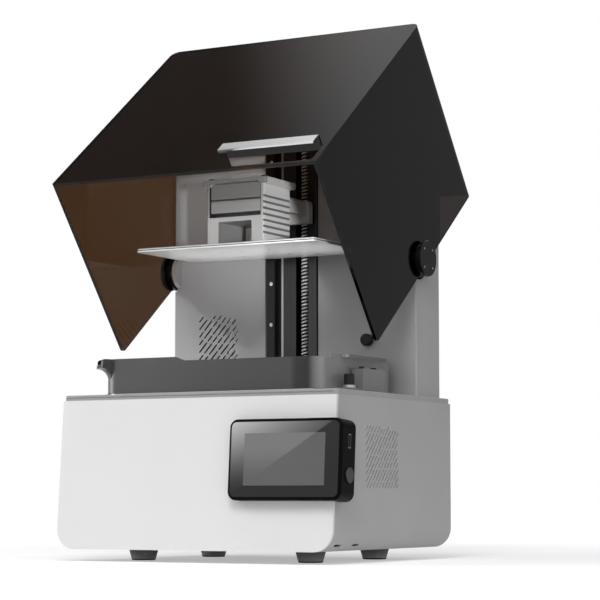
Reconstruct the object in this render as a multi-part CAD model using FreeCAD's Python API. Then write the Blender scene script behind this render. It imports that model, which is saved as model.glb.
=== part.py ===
import FreeCAD, Part
import math
import os

V = FreeCAD.Vector
X_AXIS = V(1, 0, 0)
Y_AXIS = V(0, 1, 0)
Z_AXIS = V(0, 0, 1)

# Driving dimensions in millimetres: +X right, +Y to the back, +Z up,
# origin on the table in the middle of the base.

# Base cabinet
base_w = 340.0
base_d = 285.0
base_h = 161.0
base_corner_r = 22.0
base_wall = 3.0
front_lean = 11.6
fascia_t = 4.0
foot_h = 13.0
foot_top_r = 16.5
foot_tip_r = 13.0
foot_side_inset = 65.0
foot_front_inset = 74.5
foot_rear_inset = 62.5

# Deck, masking screen and light engine
deck_t = 6.0
deck_edge_r = 1.2
deck_seam = 0.8
plate_w = 228.0
plate_front_inset = 55.9
plate_t = 4.0
lcd_margin_x = 4.0
lcd_margin_y = 3.0
lcd_t = 4.3
lcd_proud = 1.8
lcd_ledge = 7.0
light_h = 52.0
light_wall = 2.5
led_margin_x = 39.0
led_margin_y = 20.0
led_t = 6.0
lens_r = 7.0
lens_cols = 7
lens_rows = 4
sink_base_t = 5.0
sink_fin_h = 24.0
sink_fin_t = 2.0
sink_fins = 15
fan_size = 80.0
fan_t = 20.0
fan_bore_r = 37.0
fan_blades = 7

# Resin vat
vat_side = 22.0
vat_front = 34.0
vat_rear = 9.0
vat_rail_gap = 4.0
vat_h = 38.0
vat_wall = 4.0
vat_floor_t = 3.0
vat_front_r = 20.0
vat_rear_r = 12.0
vat_margin = 4.0
film_t = 0.4
film_rim = 2.0
rim_drop = 4.2
rim_slope = 2.7
spout_reach = 12.0
spout_h = 21.0
spout_nose = 10.0
spout_floor = 6.0
spout_half_deg = 26.0
spout_side_deg = 7.0
grip_reach = 9.0
grip_t = 3.0

# Vat clamps and thumbscrews
clamp_gap = 1.5
clamp_w = 14.0
clamp_foot_len = 37.0
clamp_len = 53.0
clamp_h = 26.0
clamp_foot_h = 4.0
knob_r = 5.6
knob_h = 12.0
collar_r = 7.2
collar_h = 3.0
shank_r = 2.5

# Rear column
column_w = 319.0
column_d = 58.7
column_h = 306.0
column_rear_inset = 5.8
column_wall = 3.0
column_rear_r = 30.0
column_slot_gap = 0.8
cap_x = 98.7
cap_rise = 65.5
cap_r = 7.0
cap_len = 7.0

# Lift tower
tower_w = 68.0
tower_d = 30.0
tower_proud = 2.0
tower_below_top = 3.0
screw_x = 15.0
screw_r = 4.0
screw_inset = 6.0
screw_channel_w = 16.0
screw_channel_d = 24.0
rail_x = -22.0
rail_w = 10.0
rail_t = 8.0
rail_above_deck = 16.0
rail_end_gap = 4.0
rail_gap = 0.3
rail_bolts = 6
shaft_r = 2.5
run_gap = 0.05
motor_size = 42.0
motor_h = 40.0
coupler_r = 6.5
coupler_h = 22.0
top_block_h = 12.0

# Build head
lift_height = 161.2
head_w = 73.0
head_lead = 40.0
head_d = 60.0
head_h = 67.0
head_cap_h = 7.0
head_cap_side = 5.0
head_cap_front = 3.0
head_cap_rear = 5.0
window_cheek = 3.5
window_sill = 32.0
window_lintel = 3.5
window_depth = 14.0
arch_leg = 15.3
arch_h = 27.0
groove_r = 1.9
groove_pitch = 6.75
grooves = 7
lever_side_gap = 1.5
lever_sill_gap = 5.0
lever_h = 14.5
lever_t = 5.0
lever_pin_r = 1.5
panel_gap = 0.8
panel_roof_gap = 1.5
arm_inset = 6.5
arm_h = 26.0
arm_below_top = 6.0
arm_flange_t = 8.0
arm_rail_gap = 2.0
nut_h = 18.0
lock_left = 3.0
lock_w = 42.0
lock_d = 12.0
lock_h = 11.0

# Hood, built shut and then swung open about its pivot
pivot_back = 6.0
pivot_rise = 154.5
hood_open = 52.0
hood_side_gap = 1.2
hood_wall = 3.6
hood_deck_gap = 5.0
hood_roof_gap = 6.6
hood_front_inset = 1.7
hood_tail = 10.7
hood_bend_r = 10.0
grip_left = 28.5
grip_right = 144.5
grip_ridge = 56.0
grip_lip = 16.0
grip_shelf = 16.0
grip_sheet = 2.0
slot_sill = 4.0
slot_lean = 34.0
slot_right = 158.0
pin_r = 5.0
ear_r = 19.0
ear_t = 5.5
ear_inset = 4.0
hub_r = 21.0
hub_gap = 0.5
hub_tiers = ((17.0, 1.5), (15.5, 1.0), (17.0, 1.5), (15.5, 1.0), (20.5, 3.0))

# Screen unit, measured on the leaning front face
screen_w = 133.0
screen_h = 84.0
screen_overhang = 15.0
screen_below_top = 25.0
screen_proud = 14.0
screen_depth = 30.0
screen_r = 9.0
glass_margin = 3.0
glass_t = 2.0
glass_gap = 0.15
display_w = 95.0
display_h = 54.0
port_below_top = 22.8
port_w = 6.6
port_h = 14.6
port_depth = 10.0
button_above_low = 26.5
button_r = 8.0
button_gap = 0.35
button_len = 9.0
button_proud = 1.6
button_travel = 1.2

# Vents: broken slanting slots, and level louvres at the back
slot_turn = 48.0
slot_break = 2.4
slot_short = 8.0
slot_long = 15.5
grille_inset = 61.5
grille_rise = 74.5
grille_size = 53.0
grille_pitch = 6.0
grille_slot_w = 1.9
side_vent_y = -28.0
side_vent_drop = 63.0
side_vent_w = 75.0
side_vent_h = 65.0
side_vent_pitch = 5.2
side_slot_w = 1.5
drain_insets = (24.5, 64.5)
drain_len = 14.0
drain_h = 2.2
louvre_h = 4.0
louvre_pitch = 9.5
rear_louvre_len = 84.0
rear_louvre_x = -60.0
rear_louvre_rise = 42.0
rear_louvres = 8
back_louvre_len = 70.0
back_louvre_x = 85.0
back_louvre_rise = 55.0
back_louvres = 9

# Rear panel and electronics
rear_t = 3.0
inlet_w = 28.0
inlet_h = 20.0
inlet_depth = 26.0
inlet_side_inset = 60.0
inlet_rise = 32.0
board_w = 96.0
board_d = 70.0
board_t = 1.6
stand_h = 6.0
board_side_inset = 27.0
board_rear_inset = 47.5
supply_w = 62.0
supply_d = 118.0
supply_h = 42.0
supply_side_inset = 39.0
supply_front_inset = 53.5
supply_vents = 9

# Places worked out from the driving dimensions
base_bottom = foot_h
base_top = base_bottom + base_h
deck_top = base_top + deck_t
base_front = -base_d / 2
base_rear = base_d / 2
deck_front = base_front + front_lean
lean_deg = math.degrees(math.atan2(front_lean, base_h))
column_rear_y = base_rear - column_rear_inset
column_face_y = column_rear_y - column_d
tower_front = column_face_y - tower_proud
rail_front = tower_front - rail_t
vat_rear_y = rail_front - vat_rail_gap
plate_front = deck_front + plate_front_inset
plate_rear = vat_rear_y - vat_rear
plate_d = plate_rear - plate_front
plate_y = (plate_front + plate_rear) / 2
lcd_w = plate_w + 2 * lcd_margin_x
lcd_d = plate_d + 2 * lcd_margin_y
led_w = plate_w - 2 * led_margin_x
led_d = plate_d - 2 * led_margin_y
lcd_top = deck_top + lcd_proud
film_bottom = deck_top + film_rim
vat_bottom = film_bottom + film_t
vat_top = film_bottom + vat_h
vat_x = plate_w / 2 + vat_side
vat_front_y = plate_front - vat_front
column_top = deck_top + column_h
column_x = column_w / 2
tower_top = column_top - tower_below_top
screw_y = tower_front + screw_inset
rail_bottom = deck_top + rail_above_deck
plate_bottom = deck_top + lift_height
head_bottom = plate_bottom + plate_t
head_top = head_bottom + head_h
head_front_y = plate_y - head_lead
head_rear_y = head_front_y + head_d
window_w = head_w - 2 * window_cheek
window_h = head_h + head_cap_h - window_lintel - window_sill
arch_w = head_w - 2 * arch_leg
lever_w = window_w - 2 * lever_side_gap
arm_w = head_w - 2 * arm_inset
arm_top = head_top - arm_below_top
arm_bottom = arm_top - arm_h
arm_rear_y = rail_front - arm_rail_gap
pivot_y = column_face_y + pivot_back
pivot_z = deck_top + pivot_rise
hood_w = column_w + 2 * (hood_side_gap + hood_wall)
hood_inside = hood_w / 2 - hood_wall
hood_bottom = deck_top + hood_deck_gap
hood_top = column_top + hood_roof_gap + hood_wall
hood_front_y = deck_front + hood_front_inset
hood_back_y = pivot_y + hood_tail
ear_out = column_x - ear_inset
ear_in = ear_out - ear_t
screen_right = base_w / 2 + screen_overhang
screen_left = screen_right - screen_w
screen_high = base_h - screen_below_top
screen_low = screen_high - screen_h


def box(x0, x1, y0, y1, z0, z1):
    """A block between two corners."""
    return Part.makeBox(x1 - x0, y1 - y0, z1 - z0, V(x0, y0, z0))


def rod(radius, start, axis, length):
    """A round bar from a point along an axis."""
    return Part.makeCylinder(radius, length, V(*start), axis)


def rounded(shape, radius, axis, keep=None):
    """Fillet the straight edges that run along an axis, where keep(centre) allows it."""
    edges = []
    for edge in shape.Edges:
        if edge.Curve.TypeId != "Part::GeomLine":
            continue
        along = edge.tangentAt(edge.FirstParameter)
        if abs(along.dot(axis)) > 0.999 and (keep is None or keep(edge.CenterOfMass)):
            edges.append(edge)
    return shape.makeFillet(radius, edges)


def prism(points, axis, length):
    """Extrude a closed outline of corner points."""
    corners = [V(*p) for p in points]
    outline = Part.makePolygon(corners + corners[:1])
    return Part.Face(outline).extrude(axis * length)


def stadium(length, width, depth):
    """A slot-shaped cutter along local X with round ends, extruded in Y about the origin."""
    half = length / 2 - width / 2
    r = width / 2
    low, high = V(-half, 0, -r), V(half, 0, -r)
    edges = [
        Part.LineSegment(low, high).toShape(),
        Part.Arc(high, V(half + r, 0, 0), V(half, 0, r)).toShape(),
        Part.LineSegment(V(half, 0, r), V(-half, 0, r)).toShape(),
        Part.Arc(V(-half, 0, r), V(-half - r, 0, 0), low).toShape(),
    ]
    cutter = Part.Face(Part.Wire(edges)).extrude(Y_AXIS * depth)
    cutter.translate(V(0, -depth / 2, 0))
    return cutter


def slot_field(width, height, pitch, slot_w, depth, round_ends):
    """Slanting rows of broken slots that fill a rectangle in the XZ plane about the origin."""
    turn = math.radians(slot_turn)
    along = V(math.cos(turn), 0, math.sin(turn))
    across = V(-math.sin(turn), 0, math.cos(turn))
    reach = (width * math.sin(turn) + height * math.cos(turn)) / 2
    rows = int(2 * reach / pitch)
    cutters = []
    for row in range(rows):
        foot = across * ((row - (rows - 1) / 2) * pitch)
        ends = sorted([(-width / 2 - foot.x) / along.x, (width / 2 - foot.x) / along.x,
                       (-height / 2 - foot.z) / along.z, (height / 2 - foot.z) / along.z])
        low, high = ends[1], ends[2]
        start = low
        long_next = row % 3 == 1
        while start < high - slot_short / 2:
            stop = min(start + (slot_long if long_next else slot_short), high)
            length = stop - start
            if round_ends:
                cutter = stadium(length, slot_w, depth)
            else:
                cutter = box(-length / 2, length / 2, -depth / 2, depth / 2, -slot_w / 2, slot_w / 2)
            cutter.rotate(V(0, 0, 0), Y_AXIS, -slot_turn)
            cutter.translate(foot + along * ((start + stop) / 2))
            cutters.append(cutter)
            start = stop + slot_break
            long_next = not long_next
    return cutters


def on_front(shape):
    """Move a piece from the flat front plane onto the leaning front of the base."""
    shape.rotate(V(0, 0, 0), X_AXIS, -lean_deg)
    shape.translate(V(0, base_front, base_bottom))
    return shape


def swung(shape):
    """Turn a piece of the hood from shut to open about the pivot."""
    shape.rotate(V(0, pivot_y, pivot_z), X_AXIS, -hood_open)
    return shape


def mirrored(shape):
    """The same piece on the left side."""
    return shape.mirror(V(0, 0, 0), X_AXIS)


def save(name, *shapes):
    """Write one node, a solid or a group of separate solids."""
    solid = shapes[0] if len(shapes) == 1 else Part.makeCompound(list(shapes))
    solid.exportStep("parts/" + name + ".step")


os.makedirs("parts", exist_ok=True)


# Base cabinet: a sleeve bent round the sides and floor, a leaning fascia and a rear panel
def cabinet_block(inset):
    """The cabinet's outer form, drawn in by an inset, longer than the cabinet at both ends."""
    half = base_w / 2 - inset
    block = box(-half, half, 2 * base_front, 2 * base_rear, base_bottom + inset, base_top)
    return rounded(block, base_corner_r - inset, Y_AXIS, lambda c: c.z < base_bottom + base_h / 2)


def behind_front(offset):
    """Everything behind the front plane moved back by an offset, as far as the rear."""
    low = base_front + offset
    high = deck_front + offset
    reach = front_lean / base_h * base_bottom
    side = [(-base_w, low - reach, 0), (-base_w, high, base_top),
            (-base_w, base_rear, base_top), (-base_w, base_rear, 0)]
    return prism(side, X_AXIS, 2 * base_w)


cabinet = cabinet_block(0.0)
sleeve = cabinet.cut(cabinet_block(base_wall)).common(behind_front(fascia_t))
openings = []
for cutter in slot_field(side_vent_w, side_vent_h, side_vent_pitch, side_slot_w, 3 * base_wall, False):
    cutter.rotate(V(0, 0, 0), Z_AXIS, 90)
    cutter.translate(V(base_w / 2 - base_wall / 2, side_vent_y, base_top - side_vent_drop))
    openings.append(cutter)
    openings.append(mirrored(cutter))
drain_z = base_bottom + base_corner_r * (1 - math.cos(math.pi / 4))
drain_x = base_w / 2 - base_corner_r * (1 - math.cos(math.pi / 4))
for inset in drain_insets:
    drain_y = base_front + inset
    drain = box(drain_x - base_corner_r / 2, drain_x + base_corner_r / 2, drain_y - drain_len / 2,
                drain_y + drain_len / 2, drain_z - drain_h / 2, drain_z + drain_h / 2)
    openings.append(drain)
    openings.append(mirrored(drain))
save("base_sleeve", sleeve.cut(openings))

fascia = cabinet.common(behind_front(0.0)).cut(behind_front(fascia_t))
save("front_fascia", fascia)

rear_panel = cabinet_block(base_wall).common(
    box(-base_w, base_w, base_rear - rear_t, base_rear, 0, base_top))
inlet_x = base_w / 2 - inlet_side_inset
inlet_z = base_bottom + inlet_rise
inlet_cut = box(inlet_x - inlet_w / 2, inlet_x + inlet_w / 2, 0, 2 * base_rear,
                inlet_z - inlet_h / 2, inlet_z + inlet_h / 2)
rear_panel = rear_panel.cut(inlet_cut)
louvres = []
for row in range(rear_louvres):
    louvre = stadium(rear_louvre_len, louvre_h, 4 * rear_t)
    louvre.translate(V(rear_louvre_x, base_rear, base_bottom + rear_louvre_rise + louvre_pitch * row))
    louvres.append(louvre)
save("rear_panel", rear_panel.cut(louvres))

inlet = box(inlet_x - inlet_w / 2, inlet_x + inlet_w / 2, base_rear - inlet_depth, base_rear,
            inlet_z - inlet_h / 2, inlet_z + inlet_h / 2)
inlet_flange = rounded(box(inlet_x - inlet_w / 2 - 6, inlet_x + inlet_w / 2 + 6, base_rear, base_rear + 2,
                           inlet_z - inlet_h / 2 - 3, inlet_z + inlet_h / 2 + 3), 3.0, Y_AXIS)
inlet_mouth = rounded(box(inlet_x - inlet_w / 2 + 2, inlet_x + inlet_w / 2 - 2, base_rear - inlet_depth + 6,
                          base_rear + 5, inlet_z - inlet_h / 2 + 2, inlet_z + inlet_h / 2 - 2), 4.0, Y_AXIS,
                      lambda c: c.z > inlet_z)
inlet = inlet.fuse(inlet_flange).removeSplitter().cut(inlet_mouth)
for blade_x in (-7.0, 0.0, 7.0):
    inlet = inlet.fuse(box(inlet_x + blade_x - 1, inlet_x + blade_x + 1, base_rear - inlet_depth + 5,
                           base_rear - 6, inlet_z - 3, inlet_z + 3))
save("power_inlet", inlet)

feet = []
foot_x = base_w / 2 - foot_side_inset
for x in (-foot_x, foot_x):
    for y in (base_front + foot_front_inset, base_rear - foot_rear_inset):
        foot = Part.makeCone(foot_tip_r, foot_top_r, foot_h, V(x, y, 0))
        tip = [e for e in foot.Edges if e.CenterOfMass.z < foot_h / 4 and e.Closed]
        feet.append(foot.makeFillet(1.5, tip))
save("feet", *feet)

# Deck plate with the stepped opening of the masking screen
deck = box(-base_w / 2, base_w / 2, deck_front, base_rear, base_top, deck_top)
deck = rounded(deck, 6.0, Z_AXIS)
rim = [e for e in deck.Edges if abs(e.CenterOfMass.z - deck_top) < 0.01]
deck = deck.makeFillet(deck_edge_r, rim)
lcd_box = (-lcd_w / 2, lcd_w / 2, plate_y - lcd_d / 2, plate_y + lcd_d / 2)
lcd_seat = deck_top + lcd_proud - lcd_t
deck = deck.cut(box(*lcd_box, lcd_seat, deck_top + 1))
deck = deck.cut(box(lcd_box[0] + lcd_ledge, lcd_box[1] - lcd_ledge, lcd_box[2] + lcd_ledge,
                    lcd_box[3] - lcd_ledge, base_top - 1, deck_top))
deck = deck.cut(rod(coupler_r + 1, (screw_x, screw_y, base_top - 1), Z_AXIS, deck_t + 2))
seam_z = base_top + deck_t / 2 - deck_seam / 2
deck = deck.cut(box(-base_w / 2, base_w / 2, deck_front - 1, deck_front + deck_seam, seam_z, seam_z + deck_seam))
save("deck_plate", deck)
save("masking_screen", box(*lcd_box, lcd_seat, lcd_top))

# Light engine under the screen: reflector hood, lens board, finned sink and fan


def sheet_outline(half_x, half_y, z):
    """A rectangle about the screen's middle at a height."""
    corners = [V(-half_x, plate_y - half_y, z), V(half_x, plate_y - half_y, z),
               V(half_x, plate_y + half_y, z), V(-half_x, plate_y + half_y, z)]
    return Part.makePolygon(corners + corners[:1])


mouth_x = lcd_w / 2 - lcd_ledge
mouth_y = lcd_d / 2 - lcd_ledge
light_low = base_top - light_h
outer = Part.makeLoft([sheet_outline(led_w / 2, led_d / 2, light_low),
                       sheet_outline(mouth_x + light_wall, mouth_y + light_wall, base_top)], True, True)
inner = Part.makeLoft([sheet_outline(led_w / 2 - light_wall, led_d / 2 - light_wall, light_low),
                       sheet_outline(mouth_x, mouth_y, base_top)], True, True)
save("light_reflector", outer.cut(inner))

led_low = light_low - led_t
lens_board = box(-led_w / 2, led_w / 2, plate_y - led_d / 2, plate_y + led_d / 2, led_low, light_low)
pitch_x = (led_w - 2 * light_wall) / lens_cols
pitch_y = (led_d - 2 * light_wall) / lens_rows
for i in range(lens_cols):
    for j in range(lens_rows):
        x = (i - (lens_cols - 1) / 2) * pitch_x
        y = plate_y + (j - (lens_rows - 1) / 2) * pitch_y
        lens_board = lens_board.fuse(Part.makeCone(lens_r, lens_r / 2, lens_r / 2, V(x, y, light_low)))
save("lens_board", lens_board)

sink_low = led_low - sink_base_t
sink = box(-led_w / 2, led_w / 2, plate_y - led_d / 2, plate_y + led_d / 2, sink_low, led_low)
for i in range(sink_fins):
    x = -led_w / 2 + i * (led_w - sink_fin_t) / (sink_fins - 1)
    sink = sink.fuse(box(x, x + sink_fin_t, plate_y - led_d / 2, plate_y + led_d / 2,
                         sink_low - sink_fin_h, sink_low))
save("heat_sink", sink.removeSplitter())

fan_high = sink_low - sink_fin_h
fan = rounded(box(-fan_size / 2, fan_size / 2, plate_y - fan_size / 2, plate_y + fan_size / 2,
                  fan_high - fan_t, fan_high), 5.0, Z_AXIS)
fan = fan.cut(rod(fan_bore_r, (0, plate_y, fan_high - fan_t - 1), Z_AXIS, fan_t + 2))
spider = rod(fan_bore_r / 2, (0, plate_y, fan_high - fan_t), Z_AXIS, 3.0)
for turn in range(4):
    arm = box(0, fan_bore_r + 1, -2, 2, fan_high - fan_t, fan_high - fan_t + 3)
    arm.rotate(V(0, 0, 0), Z_AXIS, 45 + 90 * turn)
    arm.translate(V(0, plate_y, 0))
    spider = spider.fuse(arm)
save("fan_frame", fan.fuse(spider).removeSplitter())

hub_low = fan_high - fan_t + 3.3
rotor = rod(fan_bore_r / 2, (0, plate_y, hub_low), Z_AXIS, fan_t - 5)
for turn in range(fan_blades):
    blade = box(fan_bore_r / 2 - 2, fan_bore_r - 1, -0.8, 0.8, hub_low + 1, hub_low + fan_t - 7)
    blade.rotate(V(fan_bore_r / 2, 0, hub_low + fan_t / 2 - 3), X_AXIS, 32)
    blade = blade.common(box(0, fan_bore_r, -fan_t, fan_t, hub_low + 1, hub_low + fan_t - 6))
    blade.rotate(V(0, 0, 0), Z_AXIS, turn * 360 / fan_blades)
    blade.translate(V(0, plate_y, 0))
    rotor = rotor.fuse(blade)
save("fan_rotor", rotor)

# Electronics on the cabinet floor
floor_z = base_bottom + base_wall
board_x = board_side_inset + board_w / 2 - base_w / 2
board_y = base_rear - board_rear_inset - board_d / 2
board = box(board_x - board_w / 2, board_x + board_w / 2, board_y - board_d / 2, board_y + board_d / 2,
            floor_z + stand_h, floor_z + stand_h + board_t)
for sx in (-1, 1):
    for sy in (-1, 1):
        spot = (board_x + sx * (board_w / 2 - 5), board_y + sy * (board_d / 2 - 5), floor_z)
        board = board.fuse(rod(3.0, spot, Z_AXIS, stand_h))
for chip_x, chip_y, chip in ((-20, 5, 24), (18, 14, 14), (20, -18, 11)):
    x = board_x + chip_x
    y = board_y + chip_y
    board = board.fuse(box(x - chip / 2, x + chip / 2, y - chip / 2, y + chip / 2,
                           floor_z + stand_h + board_t, floor_z + stand_h + board_t + 2))
save("main_board", board)
supply_x = base_w / 2 - supply_side_inset - supply_w / 2
supply_y = base_front + supply_front_inset + supply_d / 2
supply = box(supply_x - supply_w / 2, supply_x + supply_w / 2, supply_y - supply_d / 2,
             supply_y + supply_d / 2, floor_z, floor_z + supply_h)
for i in range(supply_vents):
    y = supply_y + (i - (supply_vents - 1) / 2) * supply_d / (supply_vents + 2)
    supply = supply.cut(box(supply_x - supply_w / 3, supply_x + supply_w / 3, y - 2, y + 2,
                            floor_z + supply_h - 2, floor_z + supply_h + 1))
save("power_supply", rounded(supply, 3.0, Z_AXIS, lambda c: abs(c.x - supply_x) > supply_w / 2 - 1))

# Screen unit wrapped round the right end of the front
unit_back = -screen_proud + screen_depth
unit = rounded(box(screen_left, screen_right, -screen_proud, unit_back, screen_low, screen_high),
               screen_r, Y_AXIS)
face_edges = [e for e in unit.Edges if abs(e.CenterOfMass.y + screen_proud) < 0.01]
unit = unit.makeFillet(2.5, face_edges)
glass_box = (screen_left + glass_margin, screen_right - glass_margin, screen_low + glass_margin,
             screen_high - glass_margin)


def glass_sheet(gap, depth):
    """The cover glass, or its seat when the gap is 0, from the front of the unit inwards."""
    sheet = box(glass_box[0] + gap, glass_box[1] - gap, -screen_proud - 1, -screen_proud + depth,
                glass_box[2] + gap, glass_box[3] - gap)
    return rounded(sheet, screen_r - glass_margin - gap, Y_AXIS)


in_unit = box(0, base_w, -screen_proud, base_d, 0, base_h)
unit = unit.cut(glass_sheet(0.0, glass_t))
mid_x = (screen_left + screen_right) / 2
port_z = screen_high - port_below_top
button_z = screen_low + button_above_low
mid_z = (screen_low + screen_high) / 2
display = box(mid_x - display_w / 2, mid_x + display_w / 2, -screen_proud, -screen_proud + glass_t,
              mid_z - display_h / 2, mid_z + display_h / 2)
glass = glass_sheet(glass_gap, glass_t).common(in_unit).cut(display)
side_y = (unit_back - screen_proud) / 2 + 3.0
port_cut = box(screen_right - port_depth, screen_right + 1, side_y - port_w / 2, side_y + port_w / 2,
               port_z - port_h / 2, port_z + port_h / 2)
port = rounded(box(screen_right - port_depth, screen_right - 0.4, side_y - port_w / 2, side_y + port_w / 2,
                   port_z - port_h / 2, port_z + port_h / 2), 1.0, X_AXIS)
port = port.cut(box(screen_right - port_depth + 1, screen_right + 1, side_y - port_w / 2 + 1,
                    side_y + port_w / 2 - 1, port_z - port_h / 2 + 1, port_z + port_h / 2 - 1))
port = port.fuse(box(screen_right - port_depth + 1, screen_right - 2, side_y - port_w / 2 + 1,
                     side_y - port_w / 2 + 2.6, port_z - port_h / 2 + 1.6, port_z + port_h / 2 - 1.6))
button_seat = rod(button_r + button_gap, (screen_right - button_len - button_travel, side_y, button_z),
                  X_AXIS, base_w)
button = rod(button_r, (screen_right - button_len, side_y, button_z), X_AXIS, button_len + button_proud)
button_face = [e for e in button.Edges if e.CenterOfMass.x > screen_right + button_proud - 0.01]
button = button.makeFillet(0.8, button_face)
unit = unit.cut(port_cut).cut(button_seat)
unit = on_front(unit).cut(cabinet.common(behind_front(0.0)))
save("screen_housing", unit)
save("screen_glass", on_front(glass))
save("display_panel", on_front(display))
save("usb_port", on_front(port))
save("power_button", on_front(button))

# Resin vat: tub with rounded corners, a lowered front rim, a corner spout and side grips


def tub(inset, low, high):
    """The vat's plan drawn in by an inset, between two heights."""
    block = box(-vat_x + inset, vat_x - inset, vat_front_y + inset, vat_rear_y - inset, low, high)
    block = rounded(block, vat_front_r - inset, Z_AXIS, lambda c: c.y < plate_y)
    return rounded(block, vat_rear_r - inset, Z_AXIS, lambda c: c.y > plate_y)


window = (-plate_w / 2 - vat_margin, plate_w / 2 + vat_margin, plate_front - vat_margin,
          plate_front + plate_d + vat_margin)


def corner_sweep(edges, half_deg):
    """Turn an upright outline about the axis of the front left corner, evenly about its diagonal."""
    sweep = Part.Face(Part.Wire(edges)).revolve(V(0, 0, 0), Z_AXIS, 2 * half_deg)
    sweep.rotate(V(0, 0, 0), Z_AXIS, 225 - half_deg)
    sweep.translate(V(-vat_x + vat_front_r, vat_front_y + vat_front_r, 0))
    return sweep


root = vat_front_r - vat_wall
tip = vat_front_r + spout_reach
beak = [V(root, 0, vat_top - spout_h), V(root, 0, vat_top), V(tip - spout_nose / 3, 0, vat_top),
        V(tip, 0, vat_top - spout_nose * 0.4), V(tip + 1, 0, vat_top - spout_nose),
        V(vat_front_r, 0, vat_top - spout_h)]
brow = V(tip - spout_nose / 12, 0, vat_top - spout_nose / 9)
throat = V(vat_front_r + spout_reach / 3, 0, vat_top - (2 * spout_nose + spout_h) / 3)
beak_edges = [
    Part.LineSegment(beak[0], beak[1]).toShape(),
    Part.LineSegment(beak[1], beak[2]).toShape(),
    Part.Arc(beak[2], brow, beak[3]).toShape(),
    Part.LineSegment(beak[3], beak[4]).toShape(),
    Part.Arc(beak[4], throat, beak[5]).toShape(),
    Part.LineSegment(beak[5], beak[0]).toShape(),
]
spout = corner_sweep(beak_edges, spout_half_deg)
trough = [V(root - 1, 0, vat_top + 1), V(root - 1, 0, vat_top - spout_floor),
          V(tip + 3, 0, vat_top - spout_floor), V(tip + 3, 0, vat_top + 1)]
trough_edges = Part.makePolygon(trough + trough[:1]).Edges
channel = corner_sweep(trough_edges, spout_half_deg - spout_side_deg)
vat = tub(0.0, vat_bottom, vat_top).fuse(spout)
clamp_step_y = plate_y - clamp_len / 2
clamp_rear_y = clamp_step_y + clamp_len
clamp_front_y = clamp_step_y - clamp_foot_len
grip_y0 = clamp_step_y - 20.0
grip_y1 = clamp_rear_y + 20.0
for side in (-1, 1):
    x0, x1 = sorted((side * vat_x, side * (vat_x + grip_reach)))
    grip = box(x0 - 1, x1 + 1, grip_y0, grip_y1, vat_top - grip_t, vat_top)
    grip = grip.common(box(x0, x1, grip_y0, grip_y1, 0, vat_top))
    grip = rounded(grip, grip_reach / 2, Z_AXIS, lambda c: abs(c.x) > vat_x + grip_reach / 2)
    vat = vat.fuse(grip)
vat = vat.cut(tub(vat_wall, vat_bottom + vat_floor_t, vat_top + 1)).cut(channel)
vat = vat.cut(box(window[0], window[1], window[2], window[3], vat_bottom - 1, vat_top))
low_left = -vat_x * 0.21
low_right = vat_x + grip_reach
drop = prism([(low_left - rim_drop * rim_slope, vat_front_y - 1, vat_top + 0.01),
              (low_left, vat_front_y - 1, vat_top - rim_drop),
              (low_right, vat_front_y - 1, vat_top - rim_drop),
              (low_right, vat_front_y - 1, vat_top + 0.01)], Y_AXIS, 1.4 * vat_front_r + 1)
vat = vat.cut(drop).removeSplitter()
save("vat_tub", vat)
save("vat_film", tub(vat_wall / 2, film_bottom, vat_bottom))
film_ring = tub(vat_wall / 2, deck_top, film_bottom)
save("film_ring", film_ring.cut(box(window[0] - 1, window[1] + 1, window[2] - 1, window[3] + 1,
                                    deck_top - 1, film_bottom + 1)))

# Vat clamps and their thumbscrews, one on each side
clamp_x0 = vat_x + clamp_gap
clamp_x1 = clamp_x0 + clamp_w
knob_x = (clamp_x0 + clamp_x1) / 2
knob_y = (clamp_front_y + clamp_step_y) / 2
clamp_low = deck_top
clamp_profile = [(clamp_x0, clamp_front_y, clamp_low), (clamp_x0, clamp_rear_y, clamp_low),
                 (clamp_x0, clamp_rear_y, clamp_low + clamp_h * 0.8),
                 (clamp_x0, clamp_rear_y - clamp_h * 0.2, clamp_low + clamp_h),
                 (clamp_x0, clamp_step_y, clamp_low + clamp_h),
                 (clamp_x0, clamp_step_y, clamp_low + clamp_foot_h),
                 (clamp_x0, clamp_front_y, clamp_low + clamp_foot_h)]
clamp = prism(clamp_profile, X_AXIS, clamp_w)
clamp = rounded(clamp, 2.5, X_AXIS, lambda c: c.z > clamp_low + clamp_h * 0.7)
clamp = clamp.cut(rod(shank_r + run_gap, (knob_x, knob_y, clamp_low - 1), Z_AXIS, clamp_foot_h + 2))
save("vat_clamps", clamp, mirrored(clamp))
knob_low = clamp_low + clamp_foot_h + 0.1
thumbscrew = rod(shank_r, (knob_x, knob_y, clamp_low + 0.2), Z_AXIS, clamp_foot_h)
thumbscrew = thumbscrew.fuse(rod(collar_r, (knob_x, knob_y, knob_low), Z_AXIS, collar_h))
knob = rod(knob_r, (knob_x, knob_y, knob_low + collar_h), Z_AXIS, knob_h)
knob = knob.makeChamfer(0.7, [e for e in knob.Edges if e.Closed])
flutes = 14
for turn in range(flutes):
    angle = 2 * math.pi * turn / flutes
    x = knob_x + (knob_r + 0.35) * math.cos(angle)
    y = knob_y + (knob_r + 0.35) * math.sin(angle)
    knob = knob.cut(rod(0.8, (x, y, knob_low), Z_AXIS, knob_h + collar_h + 1))
thumbscrew = thumbscrew.fuse(knob)
save("thumbscrew_right", thumbscrew)
save("thumbscrew_left", mirrored(thumbscrew))

# Rear column: folded shell with a slot for the tower, pivot pockets and a slanting grille


def column_block(inset, half_width):
    """The column's side outline with its round rear top, drawn in by an inset."""
    y0 = column_face_y + inset
    y1 = column_rear_y - inset
    block = box(-half_width, half_width, y0, y1, deck_top, column_top - inset)
    return rounded(block, column_rear_r - inset, X_AXIS,
                   lambda c: c.y > column_face_y + column_d / 2 and c.z > deck_top + 1)


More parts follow.
